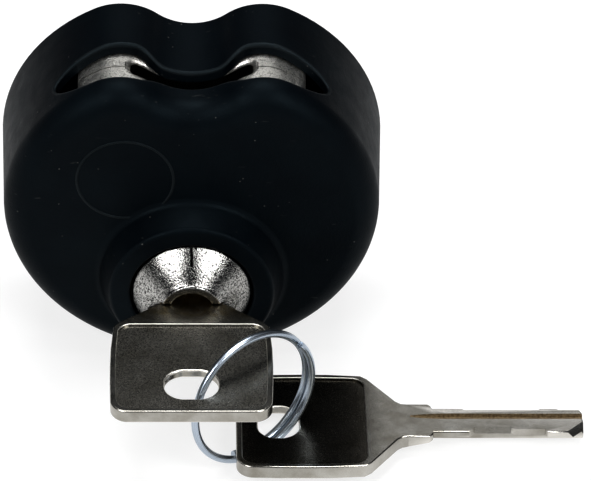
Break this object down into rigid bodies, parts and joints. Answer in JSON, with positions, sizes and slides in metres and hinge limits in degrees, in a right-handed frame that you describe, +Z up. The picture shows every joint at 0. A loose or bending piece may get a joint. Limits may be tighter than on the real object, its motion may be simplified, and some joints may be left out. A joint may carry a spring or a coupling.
{
  "type": "key operated lock head",
  "caption": "Round black lock head with two lobes and a slotted mouth on top, a nickel key plug in a front boss, a key in it and a spare key on a wire ring.",
  "frame": {"origin": "on the flat foot under the housing, in line with the plug", "axes": "+X to the right seen from the front, +Y from the front to the back, parallel to the plug, +Z up from the foot"},
  "size_m": [0.0922, 0.0565, 0.0539],
  "materials": {
    "moulded_black": "fine moulded grain",
    "satin_nickel": "satin nickel plate",
    "plated_casting": "nickel-plated die casting",
    "brass": "turned or stamped, plain",
    "bright_steel": "bright",
    "zinc_wire": "drawn wire, zinc plated",
    "nickel_silver": "worn nickel silver",
    "rubber": "matte"
  },
  "bodies": {
    "housing": {"housing_cover": "moulded_black", "back_cover": "moulded_black", "back_screw_1": "bright_steel", "back_screw_2": "bright_steel", "back_screw_3": "bright_steel", "back_screw_4": "bright_steel", "core_face_plate": "plated_casting", "core_block": "plated_casting", "core_screw_1": "bright_steel", "core_screw_2": "bright_steel", "core_screw_3": "bright_steel", "core_screw_4": "bright_steel", "front_bushing": "brass", "bushing_pin": "bright_steel", "nose_seal": "rubber", "stop_pin": "bright_steel", "detent_ball": "bright_steel", "detent_spring": "bright_steel", "detent_plug": "brass"},
    "plug": {"plug": "satin_nickel", "cam": "bright_steel", "thrust_washer": "bright_steel", "retaining_ring": "bright_steel", "wafer_spring_1": "bright_steel", "wafer_spring_2": "bright_steel", "wafer_spring_3": "bright_steel", "wafer_spring_4": "bright_steel", "wafer_spring_5": "bright_steel", "wafer_spring_6": "bright_steel"},
    "wafer_1": {"wafer_1": "brass"},
    "wafer_2": {"wafer_2": "brass"},
    "wafer_3": {"wafer_3": "brass"},
    "wafer_4": {"wafer_4": "brass"},
    "wafer_5": {"wafer_5": "brass"},
    "wafer_6": {"wafer_6": "brass"},
    "inserted_key": {"key_1": "nickel_silver"},
    "wire_ring": {"key_ring": "zinc_wire"},
    "spare_key": {"key_2": "nickel_silver"}
  },
  "joints": [
    {"name": "plug_turn", "type": "hinge", "parent": "housing", "child": "plug", "pos_m": [0, 0, 0.017], "axis": [0, 1, 0], "range_deg": [0, 90]},
    {"name": "key_pull", "type": "slide", "parent": "plug", "child": "inserted_key", "axis": [0, -1, 0], "range_m": [0, 0.03]},
    {"name": "ring_swing", "type": "hinge", "parent": "inserted_key", "child": "wire_ring", "pos_m": [0, -0.0382, 0.017], "axis": [0, 0, 1], "range_deg": [-75, 0]},
    {"name": "spare_key_round_ring", "type": "hinge", "parent": "wire_ring", "child": "spare_key", "pos_m": [0.00942, -0.03425, 0.0117], "axis": [0.5872, -0.8062, 0.072], "range_deg": [0, 45]},
    {"name": "wafer_1_slide", "type": "slide", "parent": "plug", "child": "wafer_1", "axis": [-1, 0, 0], "range_m": [0, 0.0006]},
    {"name": "wafer_2_slide", "type": "slide", "parent": "plug", "child": "wafer_2", "axis": [-1, 0, 0], "range_m": [0, 0.0006]},
    {"name": "wafer_3_slide", "type": "slide", "parent": "plug", "child": "wafer_3", "axis": [-1, 0, 0], "range_m": [0, 0.0006]},
    {"name": "wafer_4_slide", "type": "slide", "parent": "plug", "child": "wafer_4", "axis": [-1, 0, 0], "range_m": [0, 0.0006]},
    {"name": "wafer_5_slide", "type": "slide", "parent": "plug", "child": "wafer_5", "axis": [-1, 0, 0], "range_m": [0, 0.0006]},
    {"name": "wafer_6_slide", "type": "slide", "parent": "plug", "child": "wafer_6", "axis": [-1, 0, 0], "range_m": [0, 0.0006]}
  ],
  "couplings": [
    {"joint": "wafer_1_slide", "follows": "key_pull", "ratio": 0.02},
    {"joint": "wafer_2_slide", "follows": "key_pull", "ratio": 0.02},
    {"joint": "wafer_3_slide", "follows": "key_pull", "ratio": 0.02},
    {"joint": "wafer_4_slide", "follows": "key_pull", "ratio": 0.02},
    {"joint": "wafer_5_slide", "follows": "key_pull", "ratio": 0.02},
    {"joint": "wafer_6_slide", "follows": "key_pull", "ratio": 0.02}
  ]
}
